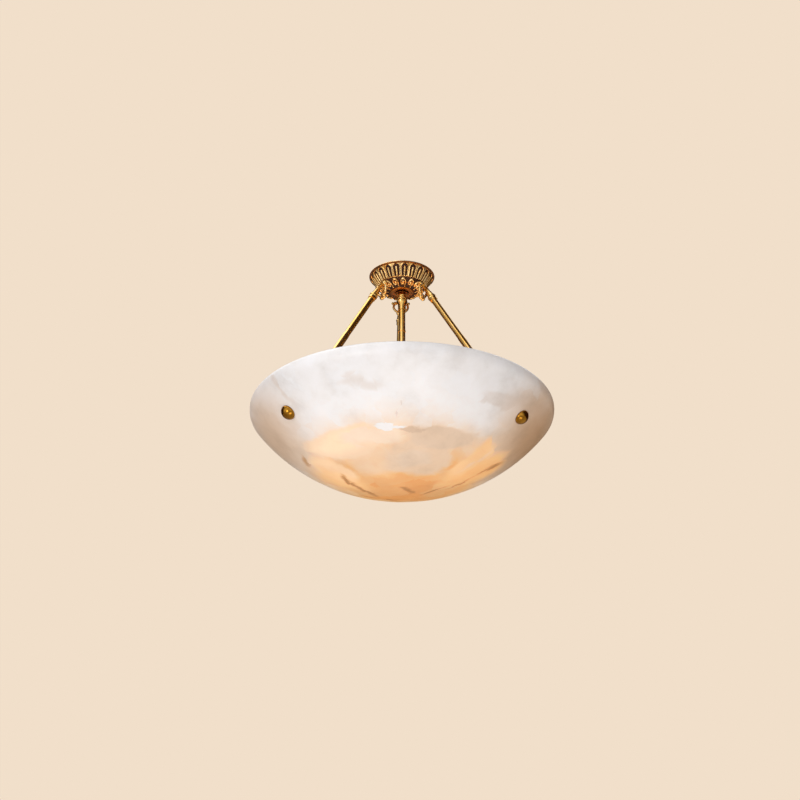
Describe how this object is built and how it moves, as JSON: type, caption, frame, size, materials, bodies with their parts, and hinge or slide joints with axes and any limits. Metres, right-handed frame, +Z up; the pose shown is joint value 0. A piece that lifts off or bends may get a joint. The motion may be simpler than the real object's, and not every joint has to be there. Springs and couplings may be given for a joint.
{
  "type": "stone bowl pendant lamp",
  "caption": "Close-hung pendant lamp: a shallow veined stone bowl on straight brass rods under a fluted cast canopy, with lampholders inside.",
  "frame": {"origin": "middle between the two ceiling screw holes, on the upper face of the bracket, which lies against the ceiling", "axes": "+Z up into the ceiling, the lamp hangs down along -Z; +X along the bracket's two screw holes; one rod runs towards +Y"},
  "size_m": [0.4999, 0.5, 0.393],
  "materials": {
    "alabaster": "polished translucent veined stone",
    "cast_brass": "antique gold, brown in the recesses",
    "turned_brass": "polished lacquered brass",
    "polished_brass": "bright polished brass",
    "plated_steel": "zinc plated",
    "terminal_plastic": "moulded",
    "washer_rubber": "matt",
    "ceramic": "unglazed",
    "bulb_metal": "drawn",
    "bulb_glass": "frosted"
  },
  "bodies": {
    "fixture": {"bowl": "alabaster", "canopy": "cast_brass", "ceiling_bracket": "plated_steel", "earth_screw": "plated_steel", "hanger_1": "cast_brass", "hanger_2": "cast_brass", "hanger_3": "cast_brass", "hanger_nuts": "plated_steel", "holder_core_1": "ceramic", "holder_core_2": "ceramic", "holder_core_3": "ceramic", "holder_shell_1": "turned_brass", "holder_shell_2": "turned_brass", "holder_shell_3": "turned_brass", "hub_finial": "turned_brass", "inner_washers": "washer_rubber", "lamp_hub": "turned_brass", "nipple": "plated_steel", "nipple_nuts": "plated_steel", "outer_washers": "washer_rubber", "pivot_pin_1": "turned_brass", "pivot_pin_2": "turned_brass", "pivot_pin_3": "turned_brass", "rod_end_1": "turned_brass", "rod_end_2": "turned_brass", "rod_end_3": "turned_brass", "rod_foot_1": "turned_brass", "rod_foot_2": "turned_brass", "rod_foot_3": "turned_brass", "rod_tube_1": "turned_brass", "rod_tube_2": "turned_brass", "rod_tube_3": "turned_brass", "rosette_band": "cast_brass", "stem_bead": "turned_brass", "stem_cup": "turned_brass", "stem_tube": "turned_brass", "terminal_block": "terminal_plastic"},
    "bulb_1": {"bulb_cap_1": "bulb_metal", "bulb_glass_1": "bulb_glass"},
    "dome_nut_1": {"dome_nut_1": "polished_brass"},
    "bulb_2": {"bulb_cap_2": "bulb_metal", "bulb_glass_2": "bulb_glass"},
    "dome_nut_2": {"dome_nut_2": "polished_brass"},
    "bulb_3": {"bulb_cap_3": "bulb_metal", "bulb_glass_3": "bulb_glass"},
    "dome_nut_3": {"dome_nut_3": "polished_brass"}
  },
  "joints": [
    {"name": "bulb_1_unscrew", "type": "slide", "parent": "fixture", "child": "bulb_1", "axis": [-0.866, -0.5, 0], "range_m": [0, 0.031]},
    {"name": "bulb_2_unscrew", "type": "slide", "parent": "fixture", "child": "bulb_2", "axis": [0.866, -0.5, 0], "range_m": [0, 0.031]},
    {"name": "bulb_3_unscrew", "type": "slide", "parent": "fixture", "child": "bulb_3", "axis": [0, 1, 0], "range_m": [0, 0.031]},
    {"name": "dome_nut_1_unscrew", "type": "slide", "parent": "fixture", "child": "dome_nut_1", "axis": [-0.5856, -0.3381, -0.7368], "range_m": [0, 0.007]},
    {"name": "dome_nut_2_unscrew", "type": "slide", "parent": "fixture", "child": "dome_nut_2", "axis": [0.5856, -0.3381, -0.7368], "range_m": [0, 0.007]},
    {"name": "dome_nut_3_unscrew", "type": "slide", "parent": "fixture", "child": "dome_nut_3", "axis": [0, 0.6761, -0.7368], "range_m": [0, 0.007]}
  ]
}
